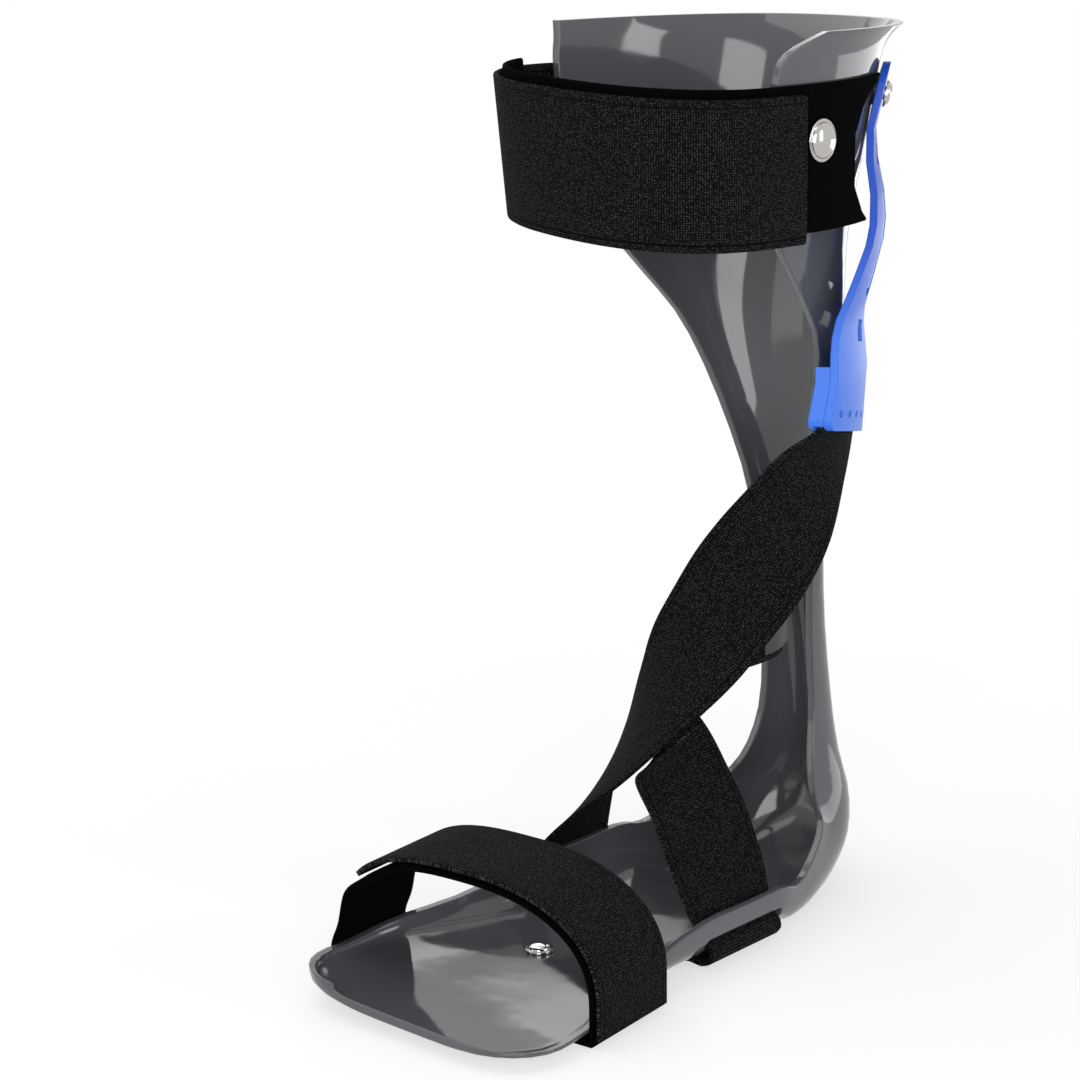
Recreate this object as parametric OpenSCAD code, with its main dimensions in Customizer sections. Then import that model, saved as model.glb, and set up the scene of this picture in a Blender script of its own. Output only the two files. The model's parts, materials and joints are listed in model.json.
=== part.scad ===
// Ankle foot orthosis for the left foot: a moulded shell with a toe plate, a heel cup, a leaf strut and
// a calf cuff, loop-and-hook straps at the calf and the forefoot, and a foot-lift strap that runs from
// a swivelling adjuster plate across the instep, under the sole and back up through a slot.
// Frame: X to the wearer's left (lateral side), toes towards -Y, Z up, origin under the heel.

/* [Shell] */
// Height of the rim above the floor
brace_height = 321; // [300:1:340]
// Distance from the back of the heel to the front of the toe plate
sole_length = 227; // [215:1:240]
// Thickness of the moulded shell
wall = 3; // [2.6:0.1:3.6]
// Angle between the foot and the leg, toes outwards
toe_out = 5.6; // [2:0.2:9]
// Width of the toe plate
toe_width = 110; // [104:1:116]
// Width of the sole at the arch
arch_width = 78; // [74:1:84]
// Width of the heel cup
heel_width = 66; // [60:1:72]
// Width of the strut where it is narrowest
strut_width = 25; // [22:1:30]
// Depth of the strut's channel
strut_depth = 14; // [11:1:17]
// Width of the cuff
cuff_width = 106; // [102:1:110]
// Depth of the cuff, from its back to its front edges
cuff_depth = 90; // [86:1:94]
// How far the rim rolls backwards
rim_flare = 8; // [4:0.5:10]
// Corner radius of the toe plate
toe_radius = 22; // [14:1:28]
// Gap between the floor and the toe plate
sole_lift = 4; // [3.8:0.1:4.6]

/* [Straps] */
// Thickness of the webbing
strap_t = 1.8; // [1.4:0.1:2]
// Thickness of the hook tape
tape_t = 0.8; // [0.6:0.1:1]
// Width of the calf straps
calf_strap_width = 50; // [42:1:54]
// Depth of the outer calf strap's lower edge below the rim
calf_strap_drop = 70; // [66:0.5:74]
// Width of the instep, sole, stirrup and forefoot straps
strap_width = 40; // [34:1:42]
// Height of the ankle strap
ankle_strap_width = 36; // [28:1:38]
// Clear height inside the forefoot loop
forefoot_height = 46; // [40:1:52]
// Running gap between a strap and its neighbour on another body
strap_gap = 0.35; // [0.3:0.05:0.5]

/* [Rivets] */
// Diameter of a calf rivet's head
cap_d = 14.5; // [12:0.5:16]
// Diameter of a rivet's shank
post_d = 6; // [5:0.5:7]
// Diameter of the flat heads inside the shell
washer_d = 11; // [10:0.5:13]
// Depth of the calf rivets below the rim
rivet_drop = 36; // [33:0.5:41]
// Diameter of the forefoot rivet's head
sole_cap_d = 10; // [9:0.5:12]

/* [Adjuster] */
// Length of the adjuster plate
plate_length = 130; // [124:1:134]
// Thickness of the adjuster plate
plate_t = 2.6; // [2.2:0.1:2.8]
// Width of the plate's neck
neck_width = 21; // [18:1:24]
// Lean of the plate, lower end forwards
plate_lean = 11; // [9:0.5:13]
// Thickness of the clamp behind the strap's end
clamp_t = 1.2; // [1:0.1:2]
// Diameter of the swivel rivet's shank
swivel_d = 5; // [4:0.5:6]

/* [Hidden] */
$fn = 48;
plastic = [0.33, 0.34, 0.36];
webbing = [0.06, 0.06, 0.07];
velvet = [0.03, 0.03, 0.035];
chrome = [0.8, 0.8, 0.82];
blue = [0.3, 0.42, 0.9];
light_blue = [0.5, 0.6, 0.97];
running_fit = 0.05;
seat_gap = 0.1;
// Longer than any wall a hole goes through
through = 30;
calf_strap_z = brace_height - calf_strap_drop;
rivet_z = brace_height - rivet_drop;

// ---- Moulded shell: one loft of U sections along the sole, round the heel and up the leg ----
heel_y = 52;
toe_y = heel_y - sole_length;
leg_axis_y = 23;
// The leg and all that is on it stand turned by toe_out about a vertical axis
module leg() translate([0, leg_axis_y, 0]) rotate(-toe_out) translate([0, -leg_axis_y, 0]) children();
function from_leg(p) = let (c = cos(toe_out), m = sin(toe_out), y = p[1] - leg_axis_y)
  [p[0] * c + y * m, leg_axis_y - p[0] * m + y * c, p[2]];

// The strap under the sole crosses it here, and the sole keeps one section along it
sole_strap_y = -46;
sole_strap_room = strap_t + 0.6;
cuff_back = 52.5;
sole_side_m = arch_width / 2 - 1.5;
sole_side_l = arch_width / 2 + 1.5;
arch_wall_m = 24;
arch_wall_l = 17;
// A station: [angle of the section plane, spine y, spine z, medial half width, lateral half width,
//             medial wall, lateral wall, squareness, share of the leg's turn, roll]
sole_stations = [
  [0, toe_y, sole_lift + 1, toe_width / 2 + 3, toe_width / 2 - 5, 7, wall, 4, 0, 1.5],
  [0, toe_y + 27, sole_lift, toe_width / 2 + 3, toe_width / 2 - 6.8, 7, wall, 4, 0, 1.5],
  [0, toe_y + 52, sole_lift, toe_width / 2 + 1, toe_width / 2 - 10, 10, 5, 4, 0, 1],
  [0, toe_y + 77, sole_lift, toe_width / 2 - 9, toe_width / 2 - 13.5, 15, 11, 3.6, 0, 0],
  [0, sole_strap_y - 22, sole_strap_room, sole_side_m, sole_side_l, arch_wall_m, arch_wall_l, 3.6, 0, 0],
  [0, sole_strap_y, sole_strap_room, sole_side_m, sole_side_l, arch_wall_m, arch_wall_l, 3.6, 0, 0],
  [0, sole_strap_y + 22, sole_strap_room, sole_side_m, sole_side_l, arch_wall_m, arch_wall_l, 3.6, 0, 0]];
heel_stations = [
  [0, heel_y - 64, -0.5, heel_width / 2 + 3, heel_width / 2 + 5, 25, 17, 4, 0, 0],
  [15, heel_y - 46, -0.4, heel_width / 2 + 1, heel_width / 2 + 2, 29, 22, 4, 0, 0],
  [35, heel_y - 22, 3, heel_width / 2 - 2, heel_width / 2 - 2, 36, 30, 3.2, 0.2, 0],
  [60, heel_y - 6, 15, heel_width / 2 - 5, heel_width / 2 - 5, 38, 33, 3, 0.4, 0],
  [80, heel_y, 32, heel_width / 2 - 9, heel_width / 2 - 9, 29, 33, 2.8, 0.7, 0]];
leg_stations = [
  [90, 50.5, 50, strut_width / 2 + 4.5, strut_width / 2 + 4, strut_depth + 9, strut_depth + 10, 2.6, 1, 0],
  [90, 48, 70, strut_width / 2 + 1.5, strut_width / 2 + 0.5, strut_depth + 3, strut_depth + 3, 2.5, 1, 0],
  [90, 43, 105, strut_width / 2 + 0.5, strut_width / 2 + 0.5, strut_depth, strut_depth, 2.5, 1, 0],
  [90, 38.5, brace_height - 176, strut_width / 2 + 4, strut_width / 2 + 4, strut_depth - 2, strut_depth - 2,
    2.5, 1, 0],
  [90, 36, brace_height - 141, strut_width / 2 + 11, strut_width / 2 + 11, 18, 18, 2.4, 1, 0],
  [90, 36.5, brace_height - 111, strut_width / 2 + 21, strut_width / 2 + 21, 28, 28, 2.4, 1, 0],
  [90, 38, brace_height - 91, cuff_width / 2 - 14, cuff_width / 2 - 14, 45, 45, 2.4, 1, 0],
  [90, 41, brace_height - 71, cuff_width / 2 - 10.5, cuff_width / 2 - 10.5, 66, 64, 2.4, 1, 0],
  [90, 44, brace_height - 53, cuff_width / 2 - 5.5, cuff_width / 2 - 5.5, cuff_depth - 12, cuff_depth - 15,
    2.4, 1, 0],
  [90, 48, brace_height - 31, cuff_width / 2 - 2, cuff_width / 2 - 2, cuff_depth - 5, cuff_depth - 8,
    2.4, 1, 0]];
cuff_stations = [
  [90, cuff_back, brace_height - 14, cuff_width / 2, cuff_width / 2, cuff_depth, cuff_depth - 2, 2.4, 1, 0],
  [90, cuff_back + rim_flare * 0.4, brace_height - 6, cuff_width / 2 + 0.8, cuff_width / 2 + 0.8,
    cuff_depth + 2, cuff_depth - 5, 2.4, 1, 0],
  [90, cuff_back + rim_flare, brace_height, cuff_width / 2 + 2, cuff_width / 2 + 2.5,
    cuff_depth + 6, cuff_depth - 16, 2.4, 1, 0]];
stations = concat(sole_stations, heel_stations, leg_stations, cuff_stations);
last_station = len(stations) - 1;
first_leg_station = len(sole_stations) + len(heel_stations);
rings = 68;
toe_rings = 7;
half_steps = 16;

function hermite(a, b, ma, mb, f) = let (g = f * f, h = g * f)
  a * (2 * h - 3 * g + 1) + ma * (h - 2 * g + f) + b * (3 * g - 2 * h) + mb * (h - g);
// Smooth curve through the rows of a list, u counts the rows
function blend(list, u) = let (
  last = len(list) - 1, i = max(0, min(floor(u), last - 1)), f = u - i,
  ma = i == 0 ? list[1] - list[0] : (list[i + 1] - list[i - 1]) / 2,
  mb = i == last - 1 ? list[last] - list[last - 1] : (list[i + 2] - list[i]) / 2)
  hermite(list[i], list[i + 1], ma, mb, f);

// Half width lost to the rounded corner at a distance behind the toe's front edge
function corner_loss(dist) = dist >= toe_radius ? 0
  : toe_radius - sqrt(pow(toe_radius, 2) - pow(toe_radius - dist, 2));

// Point of a section: t runs from -1 (medial edge) to 1 (lateral edge), inset into the wall
function flat_point(s, t, inset) = let (
  side = t < 0 ? -1 : 1, q = 90 * abs(t), n = 2 / s[7],
  w = (t < 0 ? s[3] : s[4]) - inset - (s[0] == 0 ? corner_loss(s[1] - toe_y) : 0),
  d = (t < 0 ? s[5] : s[6]) - inset,
  x = side * w * pow(sin(q), n), rise = inset + d * (1 - pow(cos(q), n)))
  [x * cos(s[9]) + rise * sin(s[9]), rise * cos(s[9]) - x * sin(s[9])];
function section_point(s, t, inset) = let (
  p = flat_point(s, t, inset), a = -toe_out * s[8],
  y = s[1] - p[1] * sin(s[0]) - leg_axis_y, z = s[2] + p[1] * cos(s[0]))
  [p[0] * cos(a) - y * sin(a), leg_axis_y + p[0] * sin(a) + y * cos(a), z];

// Station of the leg at a height, found by halving
function at_height(z, lo = first_leg_station, hi = last_station, n = 16) = let (u = (lo + hi) / 2)
  n == 0 ? blend(stations, u)
    : blend(stations, u)[2] < z ? at_height(z, u, hi, n - 1) : at_height(z, lo, u, n - 1);
// Point on the leg part of the shell in the leg's own frame, out from its outer face
function leg_point(s, t, out) = let (p = flat_point(s, t, -out)) [p[0], s[1] - p[1]];

module shell_loft() {
  table = [for (i = [0 : rings]) blend(stations, i < toe_rings ? 1 - cos(90 * i / toe_rings)
    : 1 + (i - toe_rings) * (last_station - 1) / (rings - toe_rings))];
  ring = 2 * (2 * half_steps + 1);
  points = [for (s = table) each concat(
    [for (j = [-half_steps : half_steps]) section_point(s, j / half_steps, 0)],
    [for (j = [half_steps : -1 : -half_steps]) section_point(s, j / half_steps, wall)])];
  sides = [for (i = [0 : rings - 1], j = [0 : ring - 1]) let (a = i * ring + j, b = i * ring + (j + 1) % ring)
    [a, b, b + ring, a + ring]];
  caps = [for (i = [0, rings], j = [0 : ring / 2 - 2]) let (a = i * ring + j, b = i * ring + ring - 1 - j)
    i == 0 ? [b, b - 1, a + 1, a] : [a, a + 1, b - 1, b]];
  polyhedron(points, concat(sides, caps), convexity = 10);
}

// Slot in the lateral wall for the strap, with round ends
slot_z = [6, 12.5];
slot_length = strap_width + 5;
module strap_slot() {
  r = (slot_z[1] - slot_z[0]) / 2;
  translate([sole_side_l - 8, sole_strap_y, (slot_z[0] + slot_z[1]) / 2]) rotate([90, 0, 90])
    linear_extrude(through) {
    square([slot_length - 2 * r, 2 * r], center = true);
    for (k = [-1, 1]) translate([k * (slot_length / 2 - r), 0]) circle(r);
  }
}

module shell() {
  color(plastic) difference() {
    union() {
      shell_loft();
      swivel_pad();
    }
    translate([-heel_width / 2, -heel_width / 2, -5]) cube([heel_width, heel_width, 5]);
    strap_slot();
    for (k = [-1, 1]) leg() calf_rivet_frame(k)
      cylinder(h = through, d = post_d + 2 * running_fit, center = true);
    leg() swivel_frame() cylinder(h = through, d = swivel_d + 2 * running_fit, center = true);
    sole_rivet_frame() cylinder(h = through, d = sole_post_d + 2 * running_fit, center = true);
  }
}

// ---- Straps: a ribbon along rows of [centre x, y, z, width direction x, y, z, cup] ----
function unit(v) = v / norm(v);
function ribbon_frame(rows, u) = let (
  r = blend(rows, u), e = 0.02, a = blend(rows, u - e), b = blend(rows, u + e),
  across = unit([r[3], r[4], r[5]]), along = unit([b[0] - a[0], b[1] - a[1], b[2] - a[2]]))
  [[r[0], r[1], r[2]], across, unit(cross(along, across)), r[6]];
function ribbon_point(f, width, v, h) = f[0] + f[1] * (v * width / 2) + f[2] * (h - f[3] * v * v);
// The ribbon lies between heights h[0] and h[1] over its middle face, from row u[0] to row u[1]
module ribbon(rows, width, h, u, steps, across = 4) {
  ring = 2 * (across + 1);
  frames = [for (i = [0 : steps]) ribbon_frame(rows, u[0] + (u[1] - u[0]) * i / steps)];
  points = [for (f = frames) each concat(
    [for (j = [0 : across]) ribbon_point(f, width, 2 * j / across - 1, h[0])],
    [for (j = [across : -1 : 0]) ribbon_point(f, width, 2 * j / across - 1, h[1])])];
  sides = [for (i = [0 : steps - 1], j = [0 : ring - 1]) let (a = i * ring + j, b = i * ring + (j + 1) % ring)
    each [[a, a + ring, b + ring], [a, b + ring, b]]];
  caps = [for (i = [0, steps], j = [0 : across - 1]) let (a = i * ring + j, b = i * ring + ring - 1 - j)
    each (i == 0 ? [[a, a + 1, b - 1], [a, b - 1, b]] : [[b, b - 1, a + 1], [b, a + 1, a]])];
  polyhedron(points, concat(sides, caps), convexity = 6);
}

// A band: inner and outer lists of points, closed into one outline
module band(inner, outer) polygon(concat(inner, [for (i = [len(outer) - 1 : -1 : 0]) outer[i]]));
// Quarter-rounded oval, q degrees from the lateral side (0) round the front (90) to the medial side (180)
function oval(a, b, square, q) = let (n = 2 / square)
  [a * sign(cos(q)) * pow(abs(cos(q)), n), b * pow(abs(sin(q)), n)];

// ---- Calf straps, in the leg's frame ----
calf_loop_z = calf_strap_z + 3;
calf_station = at_height(calf_loop_z + calf_strap_width);
calf_mid_y = calf_station[1] - calf_station[6];
calf_front = 46;
calf_square = 2.4;
calf_in = calf_station[4] + seat_gap;
calf_hook_in = calf_in + strap_t + strap_gap + tape_t;
hinge_y = calf_station[1] - calf_station[5] - 1;
function calf_oval(out, q) = let (p = oval(calf_in + out, calf_front + out, calf_square, q))
  [p[0], calf_mid_y - p[1]];

tab_back_t = 0.52;
hollow_at = [33, 22];
hollow_r = 26.6;
module calf_strap_loop() {
  side = [for (k = [0 : 8]) tab_back_t + (1 - tab_back_t) * k / 8];
  front = [for (k = [1 : 27]) k * 6];
  inner = concat([for (t = side) leg_point(calf_station, t, seat_gap)], [for (q = front) calf_oval(0, q)]);
  outer = concat([for (t = side) leg_point(calf_station, t, seat_gap + strap_t)],
    [for (q = front) calf_oval(strap_t, q)]);
  color(velvet) leg() difference() {
    translate([0, 0, calf_loop_z]) linear_extrude(calf_strap_width) band(inner, outer);
    // the rear edge of the tab is hollow, clear of the adjuster plate
    translate([0, hollow_at[0], calf_loop_z + hollow_at[1]]) rotate([0, 90, 0])
      cylinder(h = cuff_width, r = hollow_r);
    calf_rivet_frame(1) cylinder(h = through, d = post_d + 2 * running_fit, center = true);
  }
}

anchor_back_t = -0.6;
// Near its front edge the wall bends inwards and the anchor leaves it, out to the hook strap's layer
step_from_t = -0.935;
module calf_strap_anchor() {
  side = [for (k = [0 : 12]) anchor_back_t - (1 + anchor_back_t) * k / 12];
  function step_out(t) = seat_gap
    + (calf_hook_in - calf_in) * pow(max(0, (step_from_t - t) / (1 + step_from_t)), 1.5);
  end = [[-calf_hook_in, hinge_y + strap_gap]];
  inner = concat([for (t = side) leg_point(calf_station, t, step_out(t))], end);
  outer = concat([for (t = side) leg_point(calf_station, t, step_out(t) + strap_t)],
    [end[0] - [strap_t, 0]]);
  color(webbing) leg() difference() {
    translate([0, 0, calf_strap_z]) linear_extrude(calf_strap_width) band(inner, outer);
    calf_rivet_frame(-1) cylinder(h = through, d = post_d + 2 * running_fit, center = true);
  }
}

calf_free_end = 10;
module calf_strap_hook() {
  front = [for (k = [0 : 29]) k * 6];
  function ends(out) = concat([[calf_hook_in + out, calf_mid_y + calf_free_end]],
    [for (q = front) calf_oval(calf_hook_in - calf_in + out, q)], [[-calf_hook_in - out, hinge_y]]);
  color(webbing) leg() translate([0, 0, calf_strap_z])
    linear_extrude(calf_strap_width) band(ends(0), ends(strap_t));
}

tape_margin = 4;
module calf_hook_tape() {
  front = [for (k = [0 : 8]) k * 6];
  function ends(out) = concat([[calf_hook_in - out, calf_mid_y + calf_free_end - tape_margin]],
    [for (q = front) calf_oval(calf_hook_in - calf_in - out, q)]);
  color(velvet) leg() translate([0, 0, calf_strap_z + tape_margin])
    linear_extrude(calf_strap_width - 2 * tape_margin) band(ends(tape_t), ends(0));
}

// ---- Rivets ----
calf_rivet_t = 0.89;
// Frame on the wall's outer face, Z outwards: k is 1 on the lateral side and -1 on the medial side
module calf_rivet_frame(k) {
  p = leg_point(calf_station, k * calf_rivet_t, 0);
  q = leg_point(calf_station, k * (calf_rivet_t + 0.05), 0)
    - leg_point(calf_station, k * (calf_rivet_t - 0.05), 0);
  translate([p[0], p[1], rivet_z]) rotate([0, 90, atan2(k * q[0], -k * q[1])]) children();
}
// Extra length of the shank, as the wall leans and is deeper than its thickness at the rivet
wall_lean = 3.3;
flange = 1;
// Rise of a head's dome as a share of its diameter
dome = 0.17;
cap_gap = 0.25;
cap_seat = seat_gap + strap_t + cap_gap;
module rivet_cap(d) {
  rotate_extrude() polygon(concat([[0, 0], [d / 2, 0], [d / 2, flange]],
    [for (a = [0 : 10 : 90]) [(d / 2 - flange) * cos(a), flange + dome * d * sin(a)]]));
}
module calf_rivet_caps() color(chrome) leg() for (k = [-1, 1]) calf_rivet_frame(k)
  translate([0, 0, cap_seat]) rivet_cap(cap_d);
module calf_rivet_posts() color(chrome) leg() for (k = [-1, 1]) calf_rivet_frame(k)
  translate([0, 0, -wall - wall_lean]) cylinder(h = wall + wall_lean + cap_seat, d = post_d);
module calf_rivet_washers() color(chrome) leg() for (k = [-1, 1]) calf_rivet_frame(k)
  translate([0, 0, -wall - wall_lean - flange]) cylinder(h = flange, d = washer_d);

// ---- Adjuster plate: a slanted outline cut from a shell of revolution round the calf ----
swivel_drop = 24;
swivel_z = brace_height - swivel_drop;
swivel_t = 0.41;
swivel_station = at_height(swivel_z);
swivel_at = leg_point(swivel_station, swivel_t, 0);
// The plate is bent round an upright axis, and its middle face is square to the shell at the swivel
swivel_run = leg_point(swivel_station, swivel_t + 0.03, 0) - leg_point(swivel_station, swivel_t - 0.03, 0);
swivel_angle = atan2(swivel_run[0], -swivel_run[1]);
swivel_lift = 1.1;
plate_r = 90;
plate_axis = swivel_at - (plate_r - swivel_lift) * [cos(swivel_angle), sin(swivel_angle)];
adjuster_bearing = 36.7;
swivel_side = plate_r * sin(swivel_angle - adjuster_bearing);
module on_plate_axis() translate([plate_axis[0], plate_axis[1], swivel_z]) children();
// Frame on the inner face of the plate at the swivel, Z outwards
swivel_lean = 12;
module swivel_frame() on_plate_axis() rotate([0, 90, swivel_angle])
  translate([0, 0, plate_r]) rotate([0, swivel_lean, 0]) children();
// The shell's raised pad under the plate
pad_r = 5;
pad_gap = 0.25;
pad_root = 2;
module swivel_pad() leg() swivel_frame() translate([0, 0, -swivel_lift - pad_root])
  cylinder(h = swivel_lift + pad_root - pad_gap, r = pad_r);
// Inner face of the plate: [depth below the swivel, radius]
plate_profile = [[-14, plate_r + 14 * tan(swivel_lean)], [12, plate_r - 12 * tan(swivel_lean)],
  [23, plate_r - 1.9], [34, plate_r + 0.5], [44, plate_r + 1.3], [51, plate_r + 0.7], [64, plate_r - 2.5],
  [76, plate_r - 5.7], [82, plate_r - 6], [97, plate_r - 4.6], [130, plate_r - 6.6]];
// Solid of revolution between two heights over the inner face
module plate_shell(from, to) on_plate_axis() rotate_extrude($fn = 96)
  polygon(concat([for (p = plate_profile) [p[1] + from, -p[0]]],
    [for (i = [len(plate_profile) - 1 : -1 : 0]) [plate_profile[i][1] + to, -plate_profile[i][0]]]));
// Cuts outwards along the bearing; drawn with X across the plate, rear side positive, and the swivel at 0
module plate_cut() on_plate_axis() rotate(adjuster_bearing)
  translate([0, swivel_side, 0]) rotate([90, 0, 90]) rotate(-plate_lean)
    linear_extrude(2 * plate_r) children();
plate_end = neck_width / 2 - plate_length;
foot_width = strap_width + 4;
foot_height = 30;
corner_r = 4;
foot_top = plate_end + foot_height - corner_r;
neck_end = -14;
window = 7.5;
slot_w = 8;
slot_span = [-34, -72];
function arc(c, r, from, to) = [for (k = [0 : 6]) let (a = from + (to - from) * k / 6)
  c + r * [cos(a), sin(a)]];
foot_corners = concat(arc([corner_r - foot_width / 2, plate_end + corner_r], corner_r, 180, 270),
  arc([foot_width / 2 - corner_r, plate_end + corner_r], corner_r, 270, 360));
module foot_outline()
  polygon(concat([[-foot_width / 2, foot_top]], foot_corners, [[foot_width / 2, foot_top]]));
module plate_outline() {
  half = neck_width / 2;
  polygon(concat(arc([0, 0], half, 0, 90), arc([0, 0], half, 105, 180),
    [[-half, neck_end], [-foot_width / 2, foot_top]], foot_corners,
    [[foot_width / 2, foot_top], [half, neck_end]]));
}
module slot_outline(w) polygon(concat(arc([0, slot_span[0] - w / 2], w / 2, 0, 180),
  arc([0, slot_span[1] + w / 2], w / 2, 180, 360)));
module adjuster_plate() {
  color(blue) leg() difference() {
    intersection() {
      plate_shell(0, plate_t);
      plate_cut() plate_outline();
    }
    plate_cut() {
      for (y = [-22, -84]) translate([-window / 2, y - window / 2]) square(window);
      slot_outline(slot_w);
      for (k = [-2 : 2]) translate([k * 8, plate_end + 6]) circle(d = 2.6);
    }
    swivel_frame() cylinder(h = through, d = swivel_d + 2 * running_fit, center = true);
  }
}
latch_gap = 0.6;
module adjuster_latch() {
  color(light_blue) leg() intersection() {
    plate_shell(0.2, plate_t - 0.2);
    plate_cut() difference() {
      slot_outline(slot_w);
      difference() {
        translate([-slot_w / 2 - 1, slot_span[1] - 1])
          square([slot_w + 2, slot_span[0] - slot_span[1] - slot_w / 2]);
        translate([latch_gap - slot_w / 2, slot_span[1] + 3]) square([slot_w - 2 * latch_gap, 60]);
      }
    }
  }
}
clamp_gap = 0.85;
clamp_height = 22;
clamp_depth = strap_t + 2 * clamp_gap;
module strap_clamp() {
  color(blue) leg() difference() {
    intersection() {
      plate_shell(-clamp_depth - clamp_t, -0.02);
      plate_cut() intersection() {
        foot_outline();
        translate([-foot_width / 2, plate_end]) square([foot_width, clamp_height]);
      }
    }
    intersection() {
      plate_shell(-clamp_depth, 1);
      plate_cut() translate([-strap_width / 2 - clamp_gap, plate_end - 1])
        square([strap_width + 2 * clamp_gap, foot_height]);
    }
  }
}
swivel_depth = wall + swivel_lift + 1.6;
swivel_cap_gap = 0.2;
swivel_cap_d = swivel_d + 5;
module swivel_rivet_cap() color(chrome) leg() swivel_frame()
  translate([0, 0, plate_t + swivel_cap_gap]) rivet_cap(swivel_cap_d);
module swivel_rivet_post() color(chrome) leg() swivel_frame()
  translate([0, 0, -swivel_depth]) cylinder(h = swivel_depth + plate_t + swivel_cap_gap, d = swivel_d);
module swivel_washer() color(chrome) leg() swivel_frame()
  translate([0, 0, -swivel_depth - flange]) cylinder(h = flange, d = washer_d);

// ---- Foot-lift strap ----
// A row of the strap on the plate, at a distance below the swivel along the plate
function plate_row(l) = let (
  s = swivel_side - l * sin(plate_lean), z = l * cos(plate_lean),
  r = lookup(z, plate_profile) - clamp_depth / 2, a = adjuster_bearing + asin(s / r),
  c = from_leg([plate_axis[0] + r * cos(a), plate_axis[1] + r * sin(a), swivel_z - z]),
  u = from_leg([-sin(a) * cos(plate_lean), leg_axis_y + cos(a) * cos(plate_lean), -sin(plate_lean)]))
  [c[0], c[1], c[2], u[0], u[1] - leg_axis_y, u[2], pow(strap_width / 2 * cos(plate_lean), 2) / (2 * r)];
// The strap's fall from the plate's foot to the ankle
ankle_end_z = 96;
plate_foot_z = plate_row(-plate_end)[2];
function fall_z(share) = ankle_end_z + share * (plate_foot_z - ankle_end_z);
instep_rows = concat([for (k = [1 - clamp_height, (1 - clamp_height) / 2, 0]) plate_row(k - plate_end)], [
  [37, -1.7, fall_z(0.8435), 0, 0.9, -0.4, 2.5],
  [33, -10.8, fall_z(0.6667), 0.3, 0.7, -0.6, 1.5],
  [28, -21.8, fall_z(0.5018), 0.6, 0.5, -0.6, 1],
  [22, -32, fall_z(0.3345), 0.8, 0.2, -0.5, 0.5],
  [16, -40, fall_z(0.1673), 0.9, 0, -0.5, 0],
  [7, -44.5, ankle_end_z, 0.8, -0.3, -0.5, 0],
  [-3, -46, 82, 0.7, -0.6, -0.5, 0],
  [-17, -43.5, 64, 0.5, -0.8, -0.4, 0],
  [-31, -42, 46.5, 0.3, -0.9, -0.2, 0],
  [-sole_side_m - 1.6, sole_strap_y, 27, 0.05, -1, 0.05, 0],
  [-sole_side_m - 1.2, sole_strap_y, 20, 0, -1, 0, 0]]);
last_instep = len(instep_rows) - 1;
module instep_strap() color(webbing)
  ribbon(instep_rows, strap_width, [-strap_t / 2, strap_t / 2], [0, last_instep], 48);

// Both faces of a strap drawn along its middle line
function side_of(path, i, h) = let (
  a = path[max(0, i - 1)], b = path[min(len(path) - 1, i + 1)], d = unit(b - a)) path[i] + h * [d[1], -d[0]];
module path_band(path, t) band([for (i = [0 : len(path) - 1]) side_of(path, i, -t / 2)],
  [for (i = [0 : len(path) - 1]) side_of(path, i, t / 2)]);

sole_strap_gap = 0.25;
module sole_strap() {
  s = sole_stations[5];
  under = [for (j = [-12 : 6]) let (p = flat_point(s, j / 16, -sole_strap_gap - strap_t / 2))
    [p[0], p[1] + s[2]]];
  edge = sole_side_l;
  path = concat([[-sole_side_m - 1.15, 19.8], [-sole_side_m - 1.15, 15]], under,
    [[edge - 5, 2.4], [edge - 1.8, 3.6], [edge, 6], [edge - 0.8, 8.6], [edge - 3.2, 10.2],
      [edge - 5.6, 13.2]]);
  color(webbing) translate([0, sole_strap_y + strap_width / 2, 0]) rotate([90, 0, 0])
    linear_extrude(strap_width) path_band(path, strap_t);
}

// Heights behind the instep strap's middle face: the hook tape, and the stirrup strap's middle face
tape_gap = 0.25;
stirrup_gap = 0.45;
back_face = -strap_t / 2 - tape_gap;
stirrup_lift = back_face - tape_t - stirrup_gap - strap_t / 2;
// Row behind the instep strap, with its width direction reversed
function behind_row(u) = let (f = ribbon_frame(instep_rows, u), c = f[0] + f[2] * stirrup_lift)
  [c[0], c[1], c[2], -f[1][0], -f[1][1], -f[1][2], 0];
stirrup_rows = concat([
  [sole_side_l - 6.2, sole_strap_y, 13.9, 0, 1, 0, 0],
  [32, -45.5, 19, 0.1, 0.98, 0.02, 0],
  [24, -41.5, 29, 0.2, 0.97, 0.03, 0],
  [13, -38, 45, 0.25, 0.97, 0, 0],
  [3.5, -37.5, 59, 0.2, 0.97, 0.05, 0],
  [0.6, -38.8, 70, -0.2, 0.9, 0.25, 0]], [for (u = [9 : -0.2 : 8.2]) behind_row(u)]);
last_stirrup = len(stirrup_rows) - 1;
stirrup_tape_rows = [8.25, 8.85];
module stirrup_strap() color(webbing)
  ribbon(stirrup_rows, strap_width, [-strap_t / 2, strap_t / 2], [0, last_stirrup], 30);
module stirrup_hook_tape() color(velvet)
  ribbon(instep_rows, strap_width - 14, [back_face - tape_t, back_face], stirrup_tape_rows, 8);

ankle_z = 113;
ankle_gap = 0.3;
ankle_inset = 7;
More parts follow.
